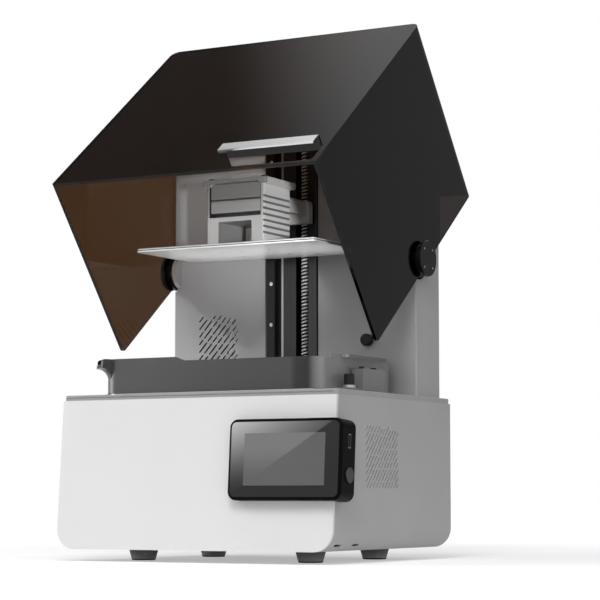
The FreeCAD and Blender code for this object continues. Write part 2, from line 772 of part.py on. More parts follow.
column = column_block(0.0, column_x)
column = rounded(column, 2.0, Z_AXIS, lambda c: c.y < column_face_y + 1)
hollow = column_block(column_wall, column_x - column_wall)
pocket_r = hub_r + 2.0
boss_h = 1.6 * pocket_r
for side in (-1, 1):
    x0, x1 = sorted((side * (ear_in - 8.0), side * column_x))
    hollow = hollow.cut(box(x0, x1, column_face_y, pivot_y + pocket_r + 6.0,
                            pivot_z - boss_h, pivot_z + boss_h))
column = column.cut(hollow)
rear_high = column_top - column_rear_r - 2.0
column = column.cut(box(-column_x + column_wall, column_x - column_wall, column_rear_y - column_wall - 1,
                        column_rear_y + 1, deck_top - 1, rear_high))
column = column.cut(box(-tower_w / 2 - column_slot_gap, tower_w / 2 + column_slot_gap, column_face_y - 1,
                        column_face_y + column_wall + 1, deck_top - 1, tower_top + column_slot_gap))
ear_seat = 0.2
for side in (-1, 1):
    start = (side * ear_out, pivot_y, pivot_z)
    column = column.cut(rod(pocket_r, start, X_AXIS * side, column_x))
    start = (side * ear_in, pivot_y, pivot_z)
    column = column.cut(rod(ear_r + ear_seat, start, X_AXIS * side, column_x))
grille = slot_field(grille_size, grille_size, grille_pitch, grille_slot_w, 4 * column_wall, True)
for cutter in grille:
    cutter.translate(V(grille_inset - column_x, column_face_y, deck_top + grille_rise))
column = column.cut(grille)
cap_z = deck_top + cap_rise
column = column.cut(rod(cap_r - 2.0, (cap_x, column_face_y - 1, cap_z), Y_AXIS, column_wall + 2))
save("column_shell", column)

back = box(-column_x + column_wall + 0.2, column_x - column_wall - 0.2, column_rear_y - column_wall,
           column_rear_y, deck_top, rear_high - 0.2)
louvres = []
for row in range(back_louvres):
    louvre = stadium(back_louvre_len, louvre_h, 4 * column_wall)
    louvre.translate(V(back_louvre_x, column_rear_y, deck_top + back_louvre_rise + louvre_pitch * row))
    louvres.append(louvre)
    louvres.append(mirrored(louvre))
save("column_back", back.cut(louvres))

cap_profile = rod(cap_r, (cap_x, column_face_y - cap_len, cap_z), Y_AXIS, cap_len)
cap_profile = cap_profile.makeFillet(1.5, [e for e in cap_profile.Edges
                                           if e.CenterOfMass.y < column_face_y - cap_len + 0.1])
save("column_cap", cap_profile.fuse(rod(cap_r - 2.0, (cap_x, column_face_y, cap_z), Y_AXIS, column_wall)))

# Lift tower: extruded beam with a screw channel, linear rail, lead screw, motor and bearings
half_tower = tower_w / 2
tower_rear = tower_front + tower_d
beam = box(-half_tower, half_tower, tower_front, tower_rear, deck_top, tower_top)
channel_x0 = screw_x - screw_channel_w / 2
channel_x1 = screw_x + screw_channel_w / 2
beam = beam.cut(box(channel_x0, channel_x1, tower_front - 1, tower_front + screw_channel_d,
                    deck_top - 1, tower_top + 1))
beam = beam.cut(box(-half_tower + 4, channel_x0 - 4, tower_front + 6, tower_rear - 4,
                    deck_top - 1, tower_top + 1))
beam = beam.cut(box(channel_x1 + 4, half_tower - 4, tower_front + 4, tower_rear - 4,
                    deck_top - 1, tower_top + 1))
groove_x = rail_x + rail_w / 2 + 6.0
beam = beam.cut(box(groove_x, groove_x + 2.5, tower_front - 1, tower_front + 1.5, deck_top - 1, tower_top + 1))
beam = rounded(beam, 1.5, Z_AXIS, lambda c: abs(c.x) > half_tower - 0.1)
save("tower_beam", beam)

rail = box(rail_x - rail_w / 2, rail_x + rail_w / 2, rail_front, tower_front, rail_bottom,
           tower_top - rail_end_gap)
waist = 1.3
for side in (-1, 1):
    x = rail_x + side * rail_w / 2
    rail = rail.cut(box(x - waist, x + waist, rail_front + 2.6, rail_front + 5.0, rail_bottom - 1, tower_top))
rail_len = tower_top - rail_end_gap - rail_bottom
for i in range(rail_bolts):
    z = rail_bottom + (i + 0.5) * rail_len / rail_bolts
    rail = rail.cut(rod(2.6, (rail_x, rail_front - 1, z), Y_AXIS, 4.5))
save("linear_rail", rail)

block_side = 6.0
rail_block = box(rail_x - rail_w / 2 - block_side, rail_x + rail_w / 2 + block_side, arm_rear_y,
                 tower_front - rail_gap, arm_bottom + 0.5, arm_top + 14.0)
rail_block = rail_block.cut(box(rail_x - rail_w / 2 - rail_gap, rail_x + rail_w / 2 + rail_gap,
                                rail_front - rail_gap, tower_front, arm_bottom - 1, arm_top + 20.0))
save("rail_block", rail_block)

motor_top = base_top
motor = rounded(box(screw_x - motor_size / 2, screw_x + motor_size / 2, screw_y - motor_size / 2,
                    screw_y + motor_size / 2, motor_top - motor_h, motor_top), 4.0, Z_AXIS)
motor = motor.cut(rod(shaft_r + run_gap, (screw_x, screw_y, motor_top - motor_h / 2), Z_AXIS, motor_h))
save("lift_motor", motor)
coupler_low = deck_top + 3.0
shaft_top = coupler_low + coupler_h / 2
save("motor_shaft", rod(shaft_r, (screw_x, screw_y, motor_top - motor_h / 2 + 0.1), Z_AXIS,
                        shaft_top - motor_top + motor_h / 2 - 0.1))
coupler = rod(coupler_r, (screw_x, screw_y, coupler_low), Z_AXIS, coupler_h)
coupler = coupler.cut(rod(shaft_r, (screw_x, screw_y, coupler_low - 1), Z_AXIS, coupler_h / 2 + 1))
coupler = coupler.cut(rod(screw_r, (screw_x, screw_y, shaft_top), Z_AXIS, coupler_h))
for ring in range(3):
    z = shaft_top - 3.0 + ring * 2.6
    cutter = rod(coupler_r + 1, (screw_x, screw_y, z), Z_AXIS, 0.8)
    cutter = cutter.cut(rod(coupler_r - 1.2, (screw_x, screw_y, z - 1), Z_AXIS, 3))
    coupler = coupler.cut(cutter)
save("shaft_coupler", coupler)
top_block_low = tower_top - top_block_h
screw = rod(screw_r, (screw_x, screw_y, shaft_top), Z_AXIS, top_block_low - 1.0 - shaft_top)
screw = screw.fuse(rod(shaft_r, (screw_x, screw_y, top_block_low - 1.0), Z_AXIS, top_block_h - 2.0))
save("lead_screw", screw)
top_block = box(channel_x0, channel_x1, tower_front, tower_front + screw_channel_d, top_block_low, tower_top)
save("top_bearing", top_block.cut(rod(shaft_r + run_gap, (screw_x, screw_y, top_block_low - 1), Z_AXIS,
                                      top_block_h + 2)))
nut_side = 1.5
nut = box(channel_x0 + nut_side, channel_x1 - nut_side, arm_rear_y, screw_y + 2 * screw_r,
          arm_bottom + 4.0, arm_bottom + 4.0 + nut_h)
nut = rounded(nut, 3.0, Z_AXIS, lambda c: c.y > screw_y)
nut = nut.cut(rod(screw_r + run_gap, (screw_x, screw_y, arm_bottom), Z_AXIS, arm_h))
save("screw_nut", nut)
sensor_x = 28.5
sensor = box(sensor_x - 5, sensor_x + 5, rail_front, tower_front, deck_top + 4, deck_top + 20)
sensor = sensor.cut(box(sensor_x - 1.6, sensor_x + 1.6, rail_front - 1, tower_front - 3,
                        deck_top + 10, deck_top + 21))
save("limit_sensor", sensor)

# Build head: plate, ribbed block with its release lever, cap and cantilever arm
build_plate = box(-plate_w / 2, plate_w / 2, plate_front, plate_front + plate_d, plate_bottom, head_bottom)
build_plate = rounded(build_plate, 5.0, Z_AXIS)
bevel = [e for e in build_plate.Edges if abs(e.CenterOfMass.z - head_bottom) < 0.01]
save("build_plate", build_plate.makeChamfer(0.8, bevel))

half_head = head_w / 2
block = box(-half_head, half_head, head_front_y, head_rear_y, head_bottom, head_top)
block = rounded(block, 2.0, Z_AXIS)
sill_z = head_bottom + window_sill
recess = box(-window_w / 2, window_w / 2, head_front_y - head_cap_front - 1, head_front_y + window_depth,
             sill_z, sill_z + window_h)
recess = rounded(recess, 6.0, Y_AXIS, lambda c: c.z > sill_z + window_h / 2)
block = block.cut(recess)
block = block.cut(box(-arch_w / 2, arch_w / 2, head_front_y - 1, head_rear_y + 1,
                      head_bottom - 1, head_bottom + arch_h))
groove_low = head_bottom + 13.0
for i in range(grooves):
    z = groove_low + i * groove_pitch
    for side in (-1, 1):
        x = side * (half_head + groove_r * 0.45)
        block = block.cut(rod(groove_r, (x, head_front_y - 1, z), Y_AXIS, head_d + 2))
lever_pin_y = head_front_y + 4.0
lever_top = sill_z + lever_h + lever_sill_gap
lever_pin_z = lever_top - lever_t / 2
pin_reach = window_w / 2 + 2.0
block = block.cut(rod(lever_pin_r, (-pin_reach, lever_pin_y, lever_pin_z), X_AXIS, 2 * pin_reach))
save("head_block", block)
save("lever_pin", rod(lever_pin_r, (-pin_reach, lever_pin_y, lever_pin_z), X_AXIS, 2 * pin_reach))
lever = box(-lever_w / 2, lever_w / 2, lever_pin_y - lever_t / 2, lever_pin_y + lever_t / 2,
            lever_top - lever_h, lever_pin_z)
knuckle = rod(lever_t / 2, (-lever_w / 2, lever_pin_y, lever_pin_z), X_AXIS, lever_w)
lever = lever.fuse(knuckle).removeSplitter()
lever = lever.cut(rod(lever_pin_r + run_gap, (-lever_w, lever_pin_y, lever_pin_z), X_AXIS, 2 * lever_w))
save("release_lever", lever)
panel_low = lever_top + panel_gap
panel_h = sill_z + window_h - panel_roof_gap - panel_low
panel = box(-lever_w / 2, lever_w / 2, lever_pin_y - lever_t / 2, head_front_y + window_depth,
            panel_low, panel_low + panel_h)
panel = rounded(panel, 4.0, Y_AXIS, lambda c: c.z > panel_low + panel_h / 2)
save("head_panel", panel)

cap = box(-half_head - head_cap_side, half_head + head_cap_side, head_front_y - head_cap_front,
          head_rear_y + head_cap_rear, head_top, head_top + head_cap_h)
cap = rounded(cap, 3.0, Z_AXIS)
save("head_cap", cap.cut(recess))
lock_x = lock_left - half_head
lock = box(lock_x, lock_x + lock_w, head_rear_y - lock_d, head_rear_y, head_top + head_cap_h,
           head_top + head_cap_h + lock_h)
lock = rounded(lock, 2.0, Y_AXIS, lambda c: c.z > head_top + head_cap_h + lock_h / 2)
save("lock_plate", lock)

half_arm = arm_w / 2
arm = box(-half_arm, half_arm, head_rear_y, arm_rear_y, arm_bottom, arm_top)
arm = rounded(arm, 4.0, Y_AXIS, lambda c: c.z > arm_top - 1)
flange = box(-half_tower, half_tower, arm_rear_y - arm_flange_t, arm_rear_y, arm_bottom, arm_top)
arm = arm.fuse(rounded(flange, 4.0, Y_AXIS, lambda c: c.z > arm_top - 1)).removeSplitter()
arch_front = head_rear_y + 8.0
arch_rear = arm_rear_y - arm_flange_t
hollow_arm = box(-half_arm + 5, half_arm - 5, arch_front, arch_rear, arm_bottom - 1, arm_top - 6)
side_arch = rounded(box(-half_arm - 1, half_arm + 1, arch_front, arch_rear, arm_bottom - 1, arm_bottom + 9),
                    5.0, X_AXIS, lambda c: c.z > arm_bottom)
save("carriage_arm", arm.cut(hollow_arm).cut(side_arch))

# Hood: bent smoked sheet over top and sides, a front sheet with a finger slot, a pull and two hubs


def arch_outline(inset, y0, y1):
    """The hood's bent section drawn in by an inset, carried along Y."""
    half = hood_w / 2 - inset
    bar = box(-half, half, y0, y1, hood_bottom - (1 if inset else 0), hood_top - inset)
    return rounded(bar, hood_bend_r - inset, Y_AXIS, lambda c: c.z > pivot_z)


sheet_front = hood_front_y + hood_wall
canopy = arch_outline(0.0, sheet_front, hood_back_y).cut(
    arch_outline(hood_wall, sheet_front - 1, hood_back_y + 1))
lower_rear = 4.0
canopy = rounded(canopy, lower_rear, X_AXIS,
                 lambda c: c.y > hood_back_y - 1 and c.z < hood_bottom + 1)
canopy = canopy.cut(rod(pin_r + run_gap, (-hood_w, pivot_y, pivot_z), X_AXIS, 2 * hood_w))
save("hood_canopy", swung(canopy))

front = arch_outline(0.0, hood_front_y, sheet_front)
ridge_z = hood_bottom + grip_ridge
sill = hood_bottom + slot_sill
slot_outline = [(grip_left, hood_front_y - 1, ridge_z), (grip_left + slot_lean, hood_front_y - 1, sill),
                (slot_right, hood_front_y - 1, sill), (slot_right, hood_front_y - 1, ridge_z - 22.0),
                (grip_right, hood_front_y - 1, ridge_z)]
slot = prism(slot_outline, Y_AXIS, hood_wall + 2)
slot = rounded(slot, 5.0, Y_AXIS, lambda c: c.z < ridge_z - 1)
save("hood_front", swung(front.cut(slot)))

pull = box(grip_left, grip_right, hood_front_y - grip_sheet, hood_front_y, ridge_z - grip_lip, ridge_z)
shelf_left = grip_left + slot_lean * grip_sheet / (ridge_z - sill) + glass_gap
pull = pull.fuse(box(shelf_left, grip_right, hood_front_y - grip_sheet, hood_front_y + grip_shelf,
                     ridge_z - grip_sheet, ridge_z)).removeSplitter()
pull = rounded(pull, grip_sheet, X_AXIS,
               lambda c: c.y < hood_front_y - grip_sheet + 0.1 and c.z > ridge_z - 0.1)
save("hood_pull", swung(pull))


def hub_cap():
    """Stepped round cap on the outside of the hood's right cheek."""
    x = hood_w / 2
    cap_solid = None
    for radius, thick in hub_tiers:
        tier = rod(radius, (x, pivot_y, pivot_z), X_AXIS, thick)
        rim_edge = [e for e in tier.Edges if e.CenterOfMass.x > x + thick - 0.01]
        tier = tier.makeChamfer(thick / 4, rim_edge)
        cap_solid = tier if cap_solid is None else cap_solid.fuse(tier)
        x += thick
    bore = rod(pin_r + run_gap, (0, pivot_y, pivot_z), X_AXIS, x - hub_tiers[-1][1])
    return cap_solid.cut(bore)


pin_end = hood_w / 2 + sum(t for r, t in hub_tiers[:-1]) - 0.3
hub_outer = hub_cap()
hub_inner = rod(hub_r, (ear_out + hub_gap, pivot_y, pivot_z), X_AXIS, hood_inside - ear_out - hub_gap)
hub_inner = hub_inner.makeChamfer(1.0, [e for e in hub_inner.Edges
                                        if e.CenterOfMass.x < ear_out + hub_gap + 0.01])
hub_inner = hub_inner.cut(rod(pin_r + run_gap, (0, pivot_y, pivot_z), X_AXIS, hood_w))
save("hub_caps", swung(hub_outer), swung(mirrored(hub_outer)))
save("hub_discs", swung(hub_inner), swung(mirrored(hub_inner)))
ear = rod(ear_r, (ear_in, pivot_y, pivot_z), X_AXIS, ear_t)
ear = ear.cut(rod(pin_r, (0, pivot_y, pivot_z), X_AXIS, hood_w))
save("hinge_ears", ear, mirrored(ear))
hinge_pin = rod(pin_r, (ear_in, pivot_y, pivot_z), X_AXIS, pin_end - ear_in)
save("hinge_pins", hinge_pin, mirrored(hinge_pin))
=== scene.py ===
import math
from itertools import product

import bmesh
import bpy
import numpy as np
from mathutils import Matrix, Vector


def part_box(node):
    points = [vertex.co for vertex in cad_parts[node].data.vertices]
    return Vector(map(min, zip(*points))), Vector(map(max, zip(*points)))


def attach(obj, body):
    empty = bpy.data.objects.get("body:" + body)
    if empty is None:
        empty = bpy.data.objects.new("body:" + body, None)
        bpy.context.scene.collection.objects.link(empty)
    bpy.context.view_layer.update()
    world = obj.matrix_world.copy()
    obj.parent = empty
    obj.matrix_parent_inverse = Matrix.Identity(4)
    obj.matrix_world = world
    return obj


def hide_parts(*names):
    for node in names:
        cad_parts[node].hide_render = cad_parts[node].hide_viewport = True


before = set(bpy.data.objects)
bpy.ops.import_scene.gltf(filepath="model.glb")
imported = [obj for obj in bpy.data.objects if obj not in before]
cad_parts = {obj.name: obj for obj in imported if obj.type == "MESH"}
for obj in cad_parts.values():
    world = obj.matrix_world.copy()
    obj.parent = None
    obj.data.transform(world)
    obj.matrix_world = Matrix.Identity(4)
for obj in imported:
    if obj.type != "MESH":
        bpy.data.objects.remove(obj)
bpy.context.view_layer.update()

# Cabinet sleeve and rear panel: sheet folded round the sides and floor, with a flat panel let
# into the back. Both carry a fine grey powder coat, which leaves a faint orange-peel skin. The
# sleeve is painted black inside as painted shade seen through its slots; its rounded floor fold stays
# grey.


class Ink:
    """One shader socket. Operators add Math nodes, and make() adds any other node."""

    def __init__(self, tree, socket=None):
        self.tree = tree
        self.socket = socket

    def make(self, kind, settings=None, sockets=None, out=0):
        """Add a node of a kind, set its settings and fill its sockets. Gives one output, or a list
        of them where out is a list."""
        node = self.tree.nodes.new(kind)
        for key, value in (settings or {}).items():
            setattr(node, key, value)
        self.fill(node, sockets or {})
        if isinstance(out, list):
            return [Ink(self.tree, node.outputs[name]) for name in out]
        return Ink(self.tree, node.outputs[out])

    def fill(self, node, sockets):
        """Link or set the sockets of a node."""
        for key, value in sockets.items():
            if isinstance(value, Ink):
                self.tree.links.new(value.socket, node.inputs[key])
            else:
                node.inputs[key].default_value = value

    def math(self, operation, *terms):
        """Add a Math node on some terms."""
        return self.make("ShaderNodeMath", {"operation": operation}, dict(enumerate(terms)))

    def __add__(self, other):
        return self.math("ADD", self, other)

    def __sub__(self, other):
        return self.math("SUBTRACT", self, other)

    def __rsub__(self, other):
        return self.math("SUBTRACT", other, self)

    def __mul__(self, other):
        return self.math("MULTIPLY", self, other)

    __radd__ = __add__
    __rmul__ = __mul__


def tone(level, red=1.0, green=1.0, blue=1.0):
    """A colour as light, by the sRGB curve, from a grey level of 0 to 255 on screen and a tint."""
    share = level / 255
    light = share / 12.92 if level < 11 else ((share + 0.055) / 1.055) ** 2.4
    return (light * red, light * green, light * blue, 1.0)


def finish(name, **sockets):
    """Start a material with fixed values on its shader; gives the material and its ink."""
    material = bpy.data.materials.new(name)
    material.use_nodes = True
    ink = Ink(material.node_tree)
    ink.shader = material.node_tree.nodes["Principled BSDF"]
    ink.fill(ink.shader, {key.replace("_", " "): value for key, value in sockets.items()})
    return material, ink


def wear(material, *names):
    """Put a material on CAD nodes."""
    for name in names:
        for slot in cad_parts[name].material_slots:
            slot.material = material


def point(ink):
    """The place of a point of the piece, in metres."""
    return ink.make("ShaderNodeTexCoord", out="Object")


def axes(ink, names="XYZ"):
    """The place of a point of the piece along the named axes, in metres."""
    return ink.make("ShaderNodeSeparateXYZ", None, {0: point(ink)}, out=list(names))


def speckle(ink, size, stretch=(1.0, 1.0, 1.0), detail=2.0):
    """Noise from 0 to 1 with features of a size in metres, drawn out along the axes by stretch."""
    place = ink.make("ShaderNodeMapping", None,
                     {"Vector": point(ink), "Scale": [1.0 / (size * s) for s in stretch]})
    return ink.make("ShaderNodeTexNoise", None, {"Vector": place, "Scale": 1.0, "Detail": detail})


def two_tone(ink, mask, first, second):
    """A colour that goes from the first to the second with a mask."""
    return ink.make("ShaderNodeMix", {"data_type": "RGBA"}, {0: mask, 6: first, 7: second}, out=2)


def ramp(ink, value, start, stop):
    """A mask that eases from 0 at one value to 1 at another."""
    return ink.make("ShaderNodeMapRange", {"interpolation_type": "SMOOTHSTEP"},
                    {"Value": value, 1: start, 2: stop})


def relief(ink, height, depth):
    """A normal from a height of 0 to 1 that stands for a depth in metres."""
    return ink.make("ShaderNodeBump", None, {"Height": height, "Distance": depth, "Strength": 1.0})


paint_reach = 0.0018
shade_from = 0.0024


def powder_coat(name, low, high, *shells):
    """Powder coat between two grey levels: fine peel, faint clouding, uneven sheen. Each shell, given
    as the lowest and highest corners of its outside, is painted black inside as painted shade: the coat
    reaches a little way in."""
    coat, ink = finish(name, IOR=1.5)
    cloud = speckle(ink, 0.09)
    peel = speckle(ink, 0.0011)
    paint = two_tone(ink, cloud * 0.75 + peel * 0.25, tone(low, 1.0, 1.0, 1.01), tone(high))
    for shell in shells:
        inside_shade = 1.0
        for place, low_side, high_side in zip(axes(ink), *shell):
            inside_shade = inside_shade * ramp(ink, place, low_side + paint_reach, low_side + shade_from)
            inside_shade = inside_shade * ramp(ink, place, high_side - paint_reach, high_side - shade_from)
        # Painted shade: black inside the shell, where little light reaches.
        paint = two_tone(ink, inside_shade, paint, tone(14))
    ink.fill(ink.shader, {
        "Base Color": paint,
        "Roughness": 0.36 + 0.16 * speckle(ink, 0.004),
        "Normal": relief(ink, peel, 0.00004),
    })
    return coat


sleeve_lo, sleeve_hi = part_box("base_sleeve")
floor_fold = Vector((0, 0, 0.022))
wear(powder_coat("cabinet_powder_coat", 166, 182, (sleeve_lo + floor_fold, sleeve_hi)), "base_sleeve")
wear(powder_coat("rear_powder_coat", 150, 168), "rear_panel")

# Mains inlet: a black moulded socket pushed through the rear panel from outside, with its
# flange screwed down.


def moulded_black(name, level, grain, rough, index=1.5):
    """Black moulded plastic: spark-eroded grain and slightly uneven sheen."""
    plastic, ink = finish(name, IOR=index)
    pebble = speckle(ink, grain)
    ink.fill(ink.shader, {
        "Base Color": two_tone(ink, speckle(ink, 0.03), tone(level - 4), tone(level + 5)),
        "Roughness": rough - 0.06 + 0.14 * pebble,
        "Normal": relief(ink, pebble, grain * 0.05),
    })
    return plastic


wear(moulded_black("inlet_black", 34, 0.0008, 0.45), "power_inlet")

# Front fascia: one white satin moulding that closes the sleeve's open front. It leans back
# towards the top and is left plain.
white, ink = finish("fascia_white", IOR=1.48)
grain = speckle(ink, 0.0007)
ink.fill(ink.shader, {
    "Base Color": two_tone(ink, speckle(ink, 0.12), tone(234), tone(239, 1.0, 1.0, 0.995)),
    "Roughness": 0.34 + 0.1 * grain,
    "Normal": relief(ink, grain, 0.000015),
})
wear(white, "front_fascia")

# Feet: grey moulded cones fixed under the cabinet's floor. Each stands on a thin black rubber
# pad, and a little dust dulls it. Each foot is painted darker towards its top, as painted shade under
# the cabinet.
foot_grey, ink = finish("foot_rubber", IOR=1.45)
foot_lo, foot_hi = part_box("feet")
pad_top = foot_lo.z + 0.0014
pad_edge = 0.0004
[z] = axes(ink, "Z")
dust = speckle(ink, 0.006, detail=5.0)
# Painted shade: dark at the top of each foot under the cabinet, lighter at its bottom.
shaded_cone = two_tone(ink, ramp(ink, z, foot_hi.z, foot_lo.z), tone(112), tone(184))
shaded_cone = two_tone(ink, 0.2 * dust, shaded_cone, tone(120))
ink.fill(ink.shader, {
    "Base Color": two_tone(ink, ramp(ink, z, pad_top + pad_edge, pad_top), shaded_cone, tone(8)),
    "Roughness": 0.62 + 0.2 * dust,
    "Normal": relief(ink, speckle(ink, 0.0009), 0.00008),
})
wear(foot_grey, "feet")

# Deck: a thick plate with an eased edge that covers the cabinet. It is powder coated like the
# sleeve and holds the screen, the vat's clamps and the column.
wear(powder_coat("deck_powder_coat", 152, 168), "deck_plate")

# Masking screen and light engine: the screen's glass lies in the deck, and a reflector, a lens
# board, a finned heat sink and a fan hang under it. The main board and the supply stand beside them.
mask_glass, ink = finish("masking_glass", IOR=1.52, Coat_Weight=0.4)
ink.fill(ink.shader, {
    "Base Color": two_tone(ink, speckle(ink, 0.04), tone(14), tone(24, 0.9, 1.0, 1.1)),
    "Roughness": 0.02 + 0.03 * speckle(ink, 0.02),
})
wear(mask_glass, "masking_screen")

streak = 0.0012


def drawn_lines(ink, stretch):
    """The fine lines of drawn, brushed or milled metal, from 0 to 1, drawn out by stretch."""
    return speckle(ink, streak, stretch, detail=3.0)


def drawn_skin(ink, lines, colour, rough):
    """Give a metal its colour, and a sheen and a skin that follow its lines."""
    ink.fill(ink.shader, {
        "Base Color": colour,
        "Roughness": rough + 0.14 * lines,
        "Normal": relief(ink, lines, streak * 0.01),
    })


def drawn_metal(name, low, high, stretch, rough, sheen=1.0):
    """Metal with drawn or brushed streaks along one axis, between two grey levels. A sheen under
    one stands for a blasted or dulled skin that scatters the rest of the light."""
    metal, ink = finish(name, Metallic=sheen)
    lines = drawn_lines(ink, stretch)
    drawn_skin(ink, lines, two_tone(ink, lines, tone(low), tone(high)), rough - 0.05)
    return metal


def circuit(name, mask_colour, metal_colour):
    """A printed board: solder mask with fine metal traces on a square grid."""
    board, ink = finish(name, IOR=1.5)
    traces = ink.make("ShaderNodeTexBrick", None,
                      {"Vector": point(ink), "Scale": 220.0, "Mortar Size": 0.06}, out=1)
    ink.fill(ink.shader, {
        "Base Color": two_tone(ink, traces, mask_colour, metal_colour),
        "Roughness": 0.35 + 0.2 * speckle(ink, 0.002),
    })
    return board


wear(drawn_metal("reflector_tin", 168, 196, (1, 1, 30), 0.25), "light_reflector")
wear(circuit("lens_board_white", tone(205), tone(150)), "lens_board")
wear(drawn_metal("sink_aluminium", 150, 176, (1, 40, 1), 0.38), "heat_sink")
wear(moulded_black("fan_black", 36, 0.0009, 0.5), "fan_frame", "fan_rotor")
wear(circuit("main_board_green", tone(86, 0.35, 1.0, 0.5), tone(140, 0.6, 1.0, 0.6)), "main_board")
wear(drawn_metal("supply_case", 140, 168, (40, 1, 1), 0.42), "power_supply")

# Resin vat: a machined tub with an anodised, bead-blasted skin, darker on the pour lip at its left
# end, and with a painted reflection of dark and bright bands round its right corner. A clear film is
# clamped under it by a metal ring.


def anodised(name, low, high, rough, sheen=0.75):
    """Bead-blasted and anodised aluminium: dull metal with a very fine dimpled skin."""
    metal, ink = finish(name, Metallic=sheen)
    dimple = speckle(ink, 0.0005)
    ink.fill(ink.shader, {
        "Base Color": two_tone(ink, speckle(ink, 0.05), tone(low), tone(high)),
        "Roughness": rough + 0.1 * dimple,
        "Normal": relief(ink, dimple, 0.00002),
    })
    return metal


vat_metal, ink = finish("vat_anodised", IOR=1.5)
vat_lo, vat_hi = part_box("vat_tub")
[x] = axes(ink, "X")
dimple = speckle(ink, 0.0005)
vat_length = vat_hi.x - vat_lo.x
# Painted shade and reflection: darker towards the right, then dark and bright bands round the right
# corner. Each band's start and full point, in metres from the right end, and its grey level.
vat_painted_reflections = [(vat_length, 0.045, 66), (0.044, 0.034, 24), (0.022, 0.009, 150), (0.002, 0.0003, 112)]
vat_skin = tone(84)
for start, full, level in vat_painted_reflections:
    reflection_band = ramp(ink, x, vat_hi.x - start, vat_hi.x - full)
    vat_skin = two_tone(ink, reflection_band, vat_skin, tone(level))
vat_skin = two_tone(ink, 0.2 * speckle(ink, 0.05), vat_skin, tone(96))
lip_start, lip_full = 0.024, 0.012
lip = ramp(ink, x, vat_lo.x + lip_start, vat_lo.x + lip_full)
ink.fill(ink.shader, {
    "Base Color": two_tone(ink, lip, vat_skin, tone(16)),
    "Metallic": 0.3 + 0.7 * lip,
    "Roughness": 0.24 + 0.1 * dimple,
    "Normal": relief(ink, dimple, 0.00002),
})
wear(vat_metal, "vat_tub")
wear(drawn_metal("ring_steel", 170, 196, (1, 30, 1), 0.3), "film_ring")
film, ink = finish("release_film", IOR=1.38, Transmission_Weight=1.0)
ink.fill(ink.shader, {
    "Base Color": two_tone(ink, speckle(ink, 0.03), tone(225), tone(245)),
    "Roughness": 0.01 + 0.02 * speckle(ink, 0.01),
})
wear(film, "vat_film")

# Vat clamps: anodised blocks screwed to the deck on both sides, each with a fluted thumbscrew that
# turns in its foot. The thumbscrew is blackened steel, left bright at its collar.
wear(anodised("clamp_anodised", 122, 134, 0.45, 0.3), "vat_clamps")
knob_steel, ink = finish("thumbscrew_steel", Metallic=0.7)
knob_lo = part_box("thumbscrew_right")[0]
collar_top = knob_lo.z + 0.007
collar_edge = 0.0005
[z] = axes(ink, "Z")
turned = drawn_lines(ink, (1, 1, 6))
collar = ramp(ink, z, collar_top + collar_edge, collar_top)
blackened = two_tone(ink, turned, tone(26), tone(44))
drawn_skin(ink, turned, two_tone(ink, collar, blackened, tone(170)), 0.24)
wear(knob_steel, "thumbscrew_left", "thumbscrew_right")

# Screen unit: a black moulded box hooked round the right end of the fascia, closed by a black
# printed cover glass with the display set into it. A port and a button are in its outer side. The cover
# and the display carry a painted reflection, lighter towards the upper left above a slanting line.
wear(moulded_black("unit_black", 10, 0.0006, 0.34, 1.1), "screen_housing")
glass_lo, glass_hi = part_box("screen_glass")
reflection_slope = 1.03
reflection_start, reflection_full = 0.02, 0.05


def slanting_painted_reflection(ink):
    """The shares of the cover's width and height at a point, and a mask that is 1 above the slanting
    line where the painted reflection begins: height less slope times width, eased over a narrow band."""
    x, z = axes(ink, "XZ")
    along = (x - glass_lo.x) * (1 / (glass_hi.x - glass_lo.x))
    upward = (z - glass_lo.z) * (1 / (glass_hi.z - glass_lo.z))
    return along, upward, ramp(ink, upward - reflection_slope * along, reflection_start, reflection_full)


cover, ink = finish("cover_glass", IOR=1.42)
along, upward, lit = slanting_painted_reflection(ink)
# Painted reflection: the cover is lighter towards its upper left, fading down and to the right, weaker
# below the slanting line.
sheen = upward * (1.0 - 0.7 * along) * (0.25 + 0.75 * lit)
ink.fill(ink.shader, {
    "Base Color": two_tone(ink, sheen * sheen, tone(12), tone(204)),
    "Roughness": 0.06 + 0.06 * speckle(ink, 0.015, detail=4.0),
})
wear(cover, "screen_glass")
display, ink = finish("display_off", IOR=1.42)
reflection_fade_start, reflection_fade_full = 0.2, 0.7
_, upward, lit = slanting_painted_reflection(ink)
# Painted reflection: the display is lighter towards its upper left, above the slanting line.
lit = lit * ramp(ink, upward, reflection_fade_start, reflection_fade_full)
ink.fill(ink.shader, {
    "Base Color": two_tone(ink, 0.75 * lit + 0.25 * speckle(ink, 0.07), tone(90), tone(124)),
    "Roughness": 0.1 + 0.06 * speckle(ink, 0.015, detail=4.0),
})
wear(display, "display_panel")
wear(drawn_metal("port_steel", 150, 180, (20, 1, 1), 0.3), "usb_port")
wear(moulded_black("button_black", 34, 0.0005, 0.3), "power_button")

# Rear column: a folded shell with a slanting grille, closed by a louvred back plate. It is powder
# coated outside, and painted black inside and in the grille as painted shade. A black plug fills the
# spare hole in its face.
column_lo, column_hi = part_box("column_shell")
rear_fold = Vector((0, 0.03, 0))
grille_depth = 0.0002
grille_left, grille_right = -0.13, -0.066
grille_bottom, grille_top = 0.222, 0.287
# The grille's box: its slot walls get the same painted shade.
grille_lo = Vector((grille_left, column_lo.y + grille_depth - paint_reach, grille_bottom))
grille_hi = Vector((grille_right, column_hi.y, grille_top))
column_coat = powder_coat("column_powder_coat", 160, 176,
                          (column_lo, column_hi - rear_fold), (grille_lo, grille_hi))
wear(column_coat, "column_shell")
wear(powder_coat("column_back_coat", 150, 168), "column_back")
wear(moulded_black("plug_black", 10, 0.0006, 0.3, 1.3), "column_cap")
